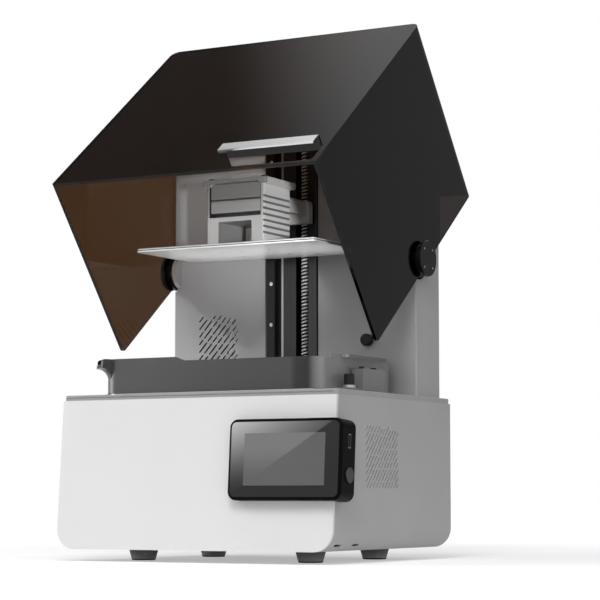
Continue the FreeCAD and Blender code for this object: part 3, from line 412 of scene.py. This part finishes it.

# Lift tower: a dark extruded beam with the screw channel, a blackened steel rail on its face, a
# motor under the deck and a bearing block at the top. A painted highlight, a narrow bright line, runs up
# the beam by the rail.
beam_metal, ink = finish("beam_dark", Metallic=1.0)
rail_lo, rail_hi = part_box("linear_rail")
highlight_line_x = rail_hi.x + 0.0056
highlight_start, highlight_full = 0.0009, 0.0006
[x] = axes(ink, "X")
drawn = drawn_lines(ink, (1, 1, 200))
# Painted highlight: a narrow bright line up the beam beside the rail.
highlight_line = ramp(ink, ink.math("ABSOLUTE", x - highlight_line_x), highlight_start, highlight_full)
beam_skin = two_tone(ink, drawn, tone(60), tone(76))
drawn_skin(ink, drawn, two_tone(ink, highlight_line, beam_skin, tone(225)), 0.31)
wear(beam_metal, "tower_beam")
wear(drawn_metal("rail_black", 22, 34, (1, 1, 120), 0.3, sheen=0.5), "linear_rail")
wear(drawn_metal("motor_steel", 96, 122, (1, 1, 20), 0.4), "lift_motor")
wear(drawn_metal("shaft_steel", 150, 176, (1, 1, 8), 0.22), "motor_shaft")
wear(drawn_metal("coupler_aluminium", 170, 196, (12, 12, 1), 0.3), "shaft_coupler")
wear(anodised("bearing_block", 70, 84, 0.4), "top_bearing")
wear(moulded_black("sensor_black", 32, 0.0006, 0.45), "limit_sensor")

# Lead screw: a rolled steel bar with one right-handed thread, with a painted highlight on the crests
# and painted shade in the grooves. It stands in the beam's channel and turns with the motor.
crease = math.radians(30.0)
merge_gap = 1e-6
sliver = 1e-7


def quads(rows, cols):
    """The faces of a grid whose columns close into a ring."""
    row, col = np.meshgrid(np.arange(rows - 1), np.arange(cols), indexing="ij")
    after = (col + 1) % cols
    faces = [row * cols + col, row * cols + after, (row + 1) * cols + after, (row + 1) * cols + col]
    return np.stack(faces, -1).reshape(-1, 4)


def piece(name, points, faces, material, body):
    """A closed steel piece from arrays of points and faces: doubles merged, normals out, edges
    sharper than the crease left hard, riding on a body."""
    mesh = bpy.data.meshes.new(name)
    mesh.from_pydata(points.reshape(-1, 3).tolist(), [], faces.tolist())
    work = bmesh.new()
    work.from_mesh(mesh)
    bmesh.ops.remove_doubles(work, verts=work.verts, dist=merge_gap)
    bmesh.ops.dissolve_degenerate(work, edges=work.edges, dist=sliver)
    bmesh.ops.recalc_face_normals(work, faces=work.faces)
    work.to_mesh(mesh)
    work.free()
    mesh.polygons.foreach_set("use_smooth", np.ones(len(mesh.polygons), bool))
    mesh.set_sharp_from_angle(angle=crease)
    mesh.materials.append(material)
    thing = bpy.data.objects.new(name, mesh)
    bpy.context.scene.collection.objects.link(thing)
    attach(thing, body)
    return thing


def threaded_bar(low, high, middle, radius, depth, pitch, starts):
    """A screw: at height z and turn a the radius is the full radius less the depth times a
    trapezoid wave of z / pitch - starts * a / one turn, so the ridges climb to the right."""
    sides, rows_a_pitch = 36, 8
    slope, flat = 2.4, 0.1
    turn = np.linspace(0, 2 * np.pi, sides, endpoint=False)
    z = np.arange(low, high, pitch / rows_a_pitch)
    phase = (z[:, None] / pitch - starts * turn[None, :] / (2 * np.pi)) % 1.0
    wave = np.clip(slope * np.abs(phase - 0.5) - flat, 0, 1)
    r = radius - depth * wave
    r = np.vstack([np.zeros((1, turn.size)), r, np.zeros((1, turn.size))])
    z = np.concatenate([[z[0]], z, [z[-1]]])
    points = np.stack([middle[0] + r * np.cos(turn), middle[1] + r * np.sin(turn),
                       np.broadcast_to(z[:, None], r.shape)], -1)
    return points, quads(*r.shape)


screw_lo, screw_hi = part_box("lead_screw")
screw_x = (screw_lo.x + screw_hi.x) / 2
screw_y = (screw_lo.y + screw_hi.y) / 2
screw_r = (screw_hi.x - screw_lo.x) / 2
thread_depth = 0.0012
thread_pitch = 0.004
thread_starts = 1
thread_groove, thread_crest = 0.0009, 0.0003
screw_steel, ink = finish("screw_steel", Metallic=0.2)
x, y = axes(ink, "XY")
from_middle = ink.math("SQRT", (x - screw_x) * (x - screw_x) + (y - screw_y) * (y - screw_y))
# Painted highlight on the thread's crests and painted shade in its grooves.
crest_highlight = ramp(ink, from_middle, screw_r - thread_groove, screw_r - thread_crest)
rolled = drawn_lines(ink, (1, 1, 3))
bright = two_tone(ink, rolled, tone(240), tone(252))
drawn_skin(ink, rolled, two_tone(ink, crest_highlight, tone(16), bright), 0.2)
thread = piece("lead_screw_thread", *threaded_bar(
    screw_lo.z, screw_hi.z, (screw_x, screw_y), screw_r, thread_depth, thread_pitch, thread_starts),
    screw_steel, "screw")
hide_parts("lead_screw")

# Screws of the rail, the clamps, the rear panel, the inlet and the column's back plate: steel socket
# heads, bright in the rail's counterbores and black elsewhere, each set a little into what it holds.


def cap_screws(spots, axis, radius, height):
    """Socket screws: each is a profile of radius against height turned about its axis; from the
    bottom of the socket outwards the radius follows a hexagon, flat / cos of the turn within a
    sixth, and on the head it follows a circle."""
    turn = np.linspace(0, 2 * np.pi, 24, endpoint=False)
    hexagon = 0.5 * radius / np.cos((turn + np.pi / 6) % (np.pi / 3) - np.pi / 6)
    circle = np.full(turn.size, radius)
    # Radius and height of each ring, from the middle of the socket's floor to the middle of the foot.
    r = np.stack([0 * circle, hexagon, hexagon, circle * 0.88, circle, circle, 0 * circle])
    h = np.array([0.45, 0.45, 1.0, 1.0, 0.85, 0.0, 0.0]) * height
    out = Vector(axis).normalized()
    across = out.orthogonal().normalized()
    up = out.cross(across)
    out, across, up = (np.array(v) for v in (out, across, up))
    one = (r[..., None] * (np.cos(turn)[:, None] * across + np.sin(turn)[:, None] * up)
           + h[:, None, None] * out).reshape(-1, 3)
    points = (spots[:, None, :] + one[None, :, :]).reshape(-1, 3)
    every = quads(*r.shape)[None] + (np.arange(len(spots)) * len(one))[:, None, None]
    return points, every.reshape(-1, 4)


def screws(name, places, axis, metal, body, radius, height):
    """A set of socket screws of one size, one at every mix of the given x, y and z places."""
    spots = np.array(list(product(*places)))
    piece(name, *cap_screws(spots, axis, radius, height), metal, body)


def inset(low, high, margin):
    """The two places that lie a margin inside a low and a high end."""
    return low + margin, high - margin


forwards = (0, -1, 0)
backwards = (0, 1, 0)
upwards = (0, 0, 1)
black_steel = drawn_metal("screw_black", 40, 58, (1, 1, 1), 0.3)
rail_steel = drawn_metal("rail_screw_steel", 226, 242, (1, 1, 1), 0.3, sheen=0.4)
set_in = 0.0002
rail_holes = 6
counterbore = 0.0034
rail_step = (rail_hi.z - rail_lo.z) / rail_holes
rail_heights = [rail_lo.z + (i + 0.5) * rail_step for i in range(rail_holes)]
screws("rail_screws", ([(rail_lo.x + rail_hi.x) / 2], [rail_lo.y + counterbore], rail_heights),
       forwards, rail_steel, "printer", radius=0.0023, height=0.0026)
clamp_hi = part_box("vat_clamps")[1]
clamp_margin = 0.007
clamp_x = clamp_hi.x - clamp_margin
clamp_rows = [-0.026, 0.002]
screws("clamp_screws", ([-clamp_x, clamp_x], clamp_rows, [clamp_hi.z - set_in]),
       upwards, black_steel, "printer", radius=0.003, height=0.0025)
panel_lo, panel_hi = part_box("rear_panel")
panel_margin = 0.009
panel_bottom, panel_top = inset(panel_lo.z, panel_hi.z, panel_margin)
screws("rear_panel_screws", (inset(panel_lo.x, panel_hi.x, panel_margin), [panel_hi.y - set_in],
                             [panel_bottom, (panel_lo.z + panel_hi.z) / 2, panel_top]),
       backwards, black_steel, "printer", radius=0.0032, height=0.0022)
inlet_lo, inlet_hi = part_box("power_inlet")
inlet_margin = 0.003
screws("inlet_screws", (inset(inlet_lo.x, inlet_hi.x, inlet_margin), [inlet_hi.y - set_in],
                        [(inlet_lo.z + inlet_hi.z) / 2]),
       backwards, black_steel, "printer", radius=0.002, height=0.0014)
back_lo, back_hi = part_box("column_back")
back_side_margin, back_end_margin = 0.008, 0.009
back_rows = 4
back_heights = np.linspace(*inset(back_lo.z, back_hi.z, back_end_margin), back_rows)
screws("column_back_screws", (inset(back_lo.x, back_hi.x, back_side_margin), [back_hi.y - set_in],
                              back_heights),
       backwards, black_steel, "printer", radius=0.0032, height=0.0022)

# Carriage: a ball block on the rail, a turned nut on the screw and a cast arm with an arched
# underside that carries the head.
wear(drawn_metal("block_steel", 110, 140, (1, 1, 20), 0.3), "rail_block")
wear(drawn_metal("nut_metal", 170, 190, (1, 1, 8), 0.3), "screw_nut")
wear(anodised("arm_anodised", 190, 206, 0.4, 0.2), "carriage_arm")

# Build head: a milled aluminium block with ribbed flanks. A fixed panel and a hinged release lever
# fill its front pocket, and a thicker cap with a lock plate is screwed on top. The block carries painted
# light: lighter on the left of its front, painted shade higher up, in the rib grooves and in the pocket,
# and a painted highlight on the rib crests. The cap is lit pale on top and at its sides, with painted
# shade on its front face.
head_metal, ink = finish("head_aluminium", Metallic=0.3)
head_lo, head_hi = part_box("head_block")
lever_lo, lever_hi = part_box("release_lever")
x, y, z = axes(ink)
half = ink.math("ABSOLUTE", x)
milled = drawn_lines(ink, (1, 60, 1))
# Masks: behind the front face, on the flanks, on the ribs' crests for a painted highlight, in the
# lever's pocket for painted shade, and high on the front for painted shade. Each has the distance at
# which it starts and the one at which it is full.
behind_start, behind_full = 0.0003, 0.0008
flank_start, flank_full = 0.0025, 0.0022
rib_start, rib_full = 0.0009, 0.0002
pocket_start, pocket_full = 0.0021, 0.0018
pocket_foot_start, pocket_foot_full = 0.0056, 0.0053
upper_start, upper_full = 0.01, 0.006
behind = ramp(ink, y, head_lo.y + behind_start, head_lo.y + behind_full)
flank = behind * ramp(ink, half, head_hi.x - flank_start, head_hi.x - flank_full)
rib_highlight = ramp(ink, half, head_hi.x - rib_start, head_hi.x - rib_full)
pocket_shade = behind * ramp(ink, half, lever_hi.x + pocket_start, lever_hi.x + pocket_full)
pocket_shade = pocket_shade * ramp(ink, z, lever_lo.z - pocket_foot_start, lever_lo.z - pocket_foot_full)
upper_shade = ramp(ink, z, lever_lo.z - upper_start, lever_lo.z + upper_full)
# Painted light on the front: lighter on the left, darker on the right, and darker still higher up in
# painted shade.
painted_front = two_tone(ink, ramp(ink, x, head_lo.x, head_hi.x), tone(204), tone(174))
painted_front = two_tone(ink, upper_shade, painted_front, tone(156))
head_skin = two_tone(ink, behind, painted_front, tone(176))
# Painted highlight on the rib crests with painted shade between them, and painted shade, near black, in
# the lever's pocket.
head_skin = two_tone(ink, flank, head_skin, two_tone(ink, rib_highlight, tone(120), tone(246)))
head_skin = two_tone(ink, pocket_shade, head_skin, tone(10))
drawn_skin(ink, milled, two_tone(ink, 0.25 * milled, head_skin, tone(150)), 0.31)
wear(head_metal, "head_block")
cap_metal, ink = finish("head_cap_aluminium", Metallic=0.3)
cap_lo, cap_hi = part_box("head_cap")
[y] = axes(ink, "Y")
milled = drawn_lines(ink, (60, 1, 1))
cap_front_start, cap_front_full = 0.0028, 0.0022
# Painted light: the cap's top and sides are lit pale, and its front face is in painted shade.
painted_front = ramp(ink, y, cap_lo.y + cap_front_start, cap_lo.y + cap_front_full)
lit_faces = two_tone(ink, milled, tone(220), tone(240))
shaded = two_tone(ink, milled, tone(128), tone(146))
drawn_skin(ink, milled, two_tone(ink, painted_front, lit_faces, shaded), 0.31)
wear(cap_metal, "head_cap")
wear(drawn_metal("panel_aluminium", 122, 138, (60, 1, 1), 0.34, sheen=0.4), "head_panel")
wear(drawn_metal("lever_aluminium", 146, 162, (60, 1, 1), 0.34, sheen=0.4), "release_lever")
wear(drawn_metal("pin_steel", 160, 190, (8, 1, 1), 0.2), "lever_pin")
wear(drawn_metal("lock_aluminium", 190, 214, (40, 1, 1), 0.34, sheen=0.5), "lock_plate")
cap_set_in = 0.0006
cap_margin = 0.008
cap_front_row, cap_rear_row = 0.009, 0.02
screws("head_cap_screws", (inset(cap_lo.x, cap_hi.x, cap_margin),
                           [cap_lo.y + cap_front_row, cap_hi.y - cap_rear_row],
                           [cap_hi.z - cap_set_in]),
       upwards, black_steel, "carriage", radius=0.0035, height=0.003)
lock_lo, lock_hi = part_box("lock_plate")
lock_margin = 0.009
screws("lock_screws", (inset(lock_lo.x, lock_hi.x, lock_margin), [lock_lo.y + set_in],
                       [(lock_lo.z + lock_hi.z) / 2]),
       forwards, black_steel, "carriage", radius=0.0028, height=0.0022)

# Build plate: a flat ground aluminium plate under the head, fine-brushed so that it mirrors. It is two
# layers with a dark joint round the edge, and four sunk screws hold it from below.


def dots(ink, spots, radius):
    """A mask of round spots of a radius about some centres."""
    place = point(ink)
    gaps = [ink.make("ShaderNodeVectorMath", {"operation": "DISTANCE"}, {0: place, 1: spot}, out="Value")
            for spot in spots]
    near = gaps[0]
    for gap in gaps[1:]:
        near = ink.math("MINIMUM", near, gap)
    return ramp(ink, near, radius, radius * 0.8)


plate_metal, ink = finish("plate_aluminium", Metallic=0.35)
plate_lo, plate_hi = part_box("build_plate")
[z] = axes(ink, "Z")
brushed = speckle(ink, 0.0008, (80, 1, 80), detail=3.0)
from_joint = ink.math("ABSOLUTE", z - (plate_lo.z + plate_hi.z) / 2)
joint_start, joint_full = 0.0006, 0.0004
joint = ramp(ink, from_joint, joint_start, joint_full)
sunk_columns = (-0.03, 0.03)
sunk_rows = (-0.026, 0.019)
sunk_radius = 0.0014
sunk_spots = list(product(sunk_columns, sunk_rows, [plate_lo.z]))
dark = ink.math("MAXIMUM", joint, dots(ink, sunk_spots, sunk_radius))
ink.fill(ink.shader, {
    "Base Color": two_tone(ink, dark, two_tone(ink, brushed, tone(240), tone(250)), tone(70)),
    "Roughness": 0.13 + 0.12 * brushed,
    "Normal": relief(ink, brushed, 0.000008),
})
wear(plate_metal, "build_plate")

# Hood: sheet of dark smoked acrylic, bent over the top and cheeks with a flat sheet bonded across
# the front. It lets a little brown light through, and less towards its right cheek, where a darker,
# greyer tint is painted shade.
smoked, ink = finish("smoked_acrylic", IOR=1.3, Transmission_Weight=1.0)
dark_brown = (0.049, 0.0245, 0.0115, 1.0)
light_brown = (0.061, 0.0305, 0.0145, 1.0)
cheek_shade_brown = (0.014, 0.010, 0.009, 1.0)
cheek_start, cheek_full = 0.06, 0.16
[x] = axes(ink, "X")
# Painted shade: towards the right cheek the tint darkens and greys.
right = ramp(ink, x, cheek_start, cheek_full)
brown = two_tone(ink, speckle(ink, 0.2), dark_brown, light_brown)
ink.fill(ink.shader, {
    "Base Color": two_tone(ink, right, brown, cheek_shade_brown),
    "Roughness": 0.03 + 0.04 * speckle(ink, 0.03, detail=4.0),
})
wear(smoked, "hood_canopy", "hood_front")

# Pull: an angle of brushed aluminium over the finger slot. Its lip in front of the sheet is bright
# and its part behind the sheet is painted dark as painted shade; depth is measured square to the open
# front sheet.
pull, ink = finish("pull_aluminium", Metallic=1.0)
open_angle = math.radians(52.0)
pull_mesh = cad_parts["hood_pull"].data
corners = np.empty(3 * len(pull_mesh.vertices), np.float32)
pull_mesh.vertices.foreach_get("co", corners)
corners = corners.reshape(-1, 3)
pull_front = float((corners[:, 1] * math.cos(open_angle) - corners[:, 2] * math.sin(open_angle)).min())
y, z = axes(ink, "YZ")
depth = y * math.cos(open_angle) - z * math.sin(open_angle) - pull_front
leaf_start, leaf_full = 0.0021, 0.0024
# Painted shade: the part behind the front sheet is dark grey.
shaded_leaf = ramp(ink, depth, leaf_start, leaf_full)
brush = drawn_lines(ink, (80, 1, 1))
bright = two_tone(ink, brush, tone(206), tone(228))
drawn_skin(ink, brush, two_tone(ink, shaded_leaf, bright, tone(48)), 0.26)
wear(pull, "hood_pull")

# Pivots: stepped black caps outside and discs inside clamp each cheek, with four small screws in a
# ring. They turn on steel pins held in silver ears on the column.
hub_black, ink = finish("hub_black", IOR=1.3)
hub_lo, hub_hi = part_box("hub_caps")
hub_y = (hub_lo.y + hub_hi.y) / 2
hub_z = (hub_lo.z + hub_hi.z) / 2
ring_r = 0.0145
ring_screw_r = 0.0015
ring_turns = np.radians((45, 135, 225, 315))
ring = [(side, hub_y + ring_r * math.cos(turn), hub_z + ring_r * math.sin(turn))
        for side in (hub_lo.x, hub_hi.x) for turn in ring_turns]
grain = speckle(ink, 0.0006)
hub_skin = two_tone(ink, speckle(ink, 0.03), tone(12), tone(20))
ink.fill(ink.shader, {
    "Base Color": two_tone(ink, dots(ink, ring, ring_screw_r), hub_skin, tone(150)),
    "Roughness": 0.16 + 0.1 * grain,
    "Normal": relief(ink, grain, 0.00001),
})
wear(hub_black, "hub_caps", "hub_discs")
wear(drawn_metal("ear_steel", 186, 206, (8, 1, 1), 0.34, sheen=0.3), "hinge_ears")
wear(drawn_metal("hinge_pin_steel", 160, 190, (8, 1, 1), 0.2), "hinge_pins")

# Studio floor and surround: a pale sheet that runs back into a white surround. Both look pale to the
# camera, in metal and through glass, and the part gets only a soft light from them.
ray_kinds = ["Is Camera Ray", "Is Glossy Ray", "Is Transmission Ray"]
floor_half = 8
floor_mesh = bpy.data.meshes.new("floor")
floor_mesh.from_pydata([(-floor_half, -floor_half, 0), (floor_half, -floor_half, 0),
                        (floor_half, floor_half, 0), (-floor_half, floor_half, 0)], [], [(0, 1, 2, 3)])
floor = bpy.data.objects.new("floor", floor_mesh)
bpy.context.scene.collection.objects.link(floor)
paper, ink = finish("floor_paper", Roughness=0.9, Emission_Strength=1.0, Specular_IOR_Level=0.0)
camera_ray, glossy_ray, through_ray = ink.make("ShaderNodeLightPath", out=ray_kinds)
seen = ink.math("MINIMUM", camera_ray + glossy_ray + through_ray, 1.0)
reach = ink.make("ShaderNodeVectorMath", {"operation": "LENGTH"}, {0: point(ink)}, out="Value")
far_start, far_full = 0.35, 1.1
far = ramp(ink, reach, far_start, far_full)
ink.fill(ink.shader, {
    "Base Color": two_tone(ink, far, (0.8, 0.8, 0.8, 1.0), (0.0, 0.0, 0.0, 1.0)),
    "Emission Color": seen * (0.4 + 0.62 * far) + (1.0 - seen) * (0.02 + 0.2 * far),
})
floor_mesh.materials.append(paper)

world = bpy.data.worlds.new("studio")
bpy.context.scene.world = world
world.use_nodes = True
sky = Ink(world.node_tree)
camera_ray, glossy_ray, through_ray = sky.make("ShaderNodeLightPath", out=ray_kinds)
plain = sky.math("MAXIMUM", camera_ray, through_ray)
aim = sky.make("ShaderNodeTexCoord", out="Generated")
east, north, height = sky.make("ShaderNodeSeparateXYZ", None, {0: aim}, out=["X", "Y", "Z"])
# Metal mirrors white, with a dark patch high on the left and a dimmer one behind. What lights the
# part is a soft glow from the right.
over = ramp(sky, height, 0.5, 0.62)
westward = ramp(sky, east, -0.43, -0.51)
flag = ramp(sky, east * 0.48 + north * 0.87, 0.7, 0.92)
mirror = (1.0 - 0.9 * over * westward) * (1.0 - 0.7 * flag)
soft = 0.58 * ramp(sky, east, -0.3, 0.3)
level = plain + (1.0 - plain) * (glossy_ray * mirror + (1.0 - glossy_ray) * soft)
sky.fill(world.node_tree.nodes["Background"], {"Color": (1, 1, 1, 1), "Strength": level})

# Lamps: soft panels in front on the right, on the left and overhead. Three narrow beams reach under
# the open hood, and a small panel in the vat lights the plate from below.


def place_lamp(lamp, place, target, hidden=False):
    """Stand a lamp at a place, looking at a target. A hidden one is not seen itself or mirrored."""
    holder = bpy.data.objects.new(lamp.name, lamp)
    holder.location = place
    holder.rotation_euler = (Vector(target) - Vector(place)).to_track_quat("-Z", "Y").to_euler()
    holder.visible_camera = holder.visible_glossy = holder.visible_transmission = not hidden
    bpy.context.scene.collection.objects.link(holder)


def soft_lamp(name, place, target, width, power, spread=180.0, across=None):
    """A soft panel of light, with its beam held to a spread in degrees. A narrowed one is hidden."""
    lamp = bpy.data.lights.new(name, "AREA")
    lamp.shape = "RECTANGLE"
    lamp.size = width
    lamp.size_y = across or width
    lamp.energy = power
    lamp.spread = math.radians(spread)
    place_lamp(lamp, place, target, hidden=spread < 180.0)


def beam_lamp(name, place, target, angle, power):
    """A narrow beam with a soft rim, of an angle in degrees."""
    lamp = bpy.data.lights.new(name, "SPOT")
    lamp.energy = power
    lamp.spot_size = math.radians(angle)
    lamp.spot_blend = 0.7
    lamp.shadow_soft_size = 0.08
    place_lamp(lamp, place, target, hidden=True)


body_middle = (0, 0, 0.25)
part_middle = (0, 0, 0.3)
soft_lamp("key", (0.7, -1.8, 1.7), body_middle, width=0.9, power=22)
soft_lamp("left_high", (-1.5, -1.2, 1.6), body_middle, width=0.9, power=12.5)
soft_lamp("top", (-0.2, -0.1, 2.4), part_middle, width=1.4, power=8)
soft_lamp("left_low", (-1.7, -0.6, 0.2), body_middle, width=0.8, power=9)
soft_lamp("right_low", (1.45, -1.75, 0.12), part_middle, width=1.0, power=2.2)
beam_lamp("head_beam", (1.45, -1.75, 0.1), (0.0365, -0.02, 0.378), angle=4.6, power=270)
beam_lamp("column_beam", (-0.25, -2.2, 0.1), (-0.13, 0.078, 0.42), angle=5.4, power=66)
beam_lamp("left_beam", (-1.5, -1.3, 0.2), (-0.14, 0.078, 0.22), angle=7.0, power=60)
soft_lamp("vat_glow", (0, -0.02, 0.2), (0, -0.02, 0.4), width=0.22, power=0.07, spread=40.0, across=0.1)

# Camera: stands low in front on the right, where the photograph was taken from. The focal length is
# given in pixels of the picture and turned into millimetres on the sensor.
sensor = 36.0
focal_pixels = 2121.0
picture_pixels = 600.0
eye_place = (1.1893, -2.0447, 0.0679)
eye_aim = Vector((-0.48321, 0.87055, 0.09301))
lens = bpy.data.cameras.new("camera")
lens.sensor_width = sensor
lens.lens = sensor * focal_pixels / picture_pixels
eye = bpy.data.objects.new("camera", lens)
eye.location = eye_place
eye.rotation_euler = eye_aim.to_track_quat("-Z", "Y").to_euler()
bpy.context.scene.collection.objects.link(eye)
bpy.context.scene.camera = eye
bpy.context.scene.view_settings.view_transform = "Standard"
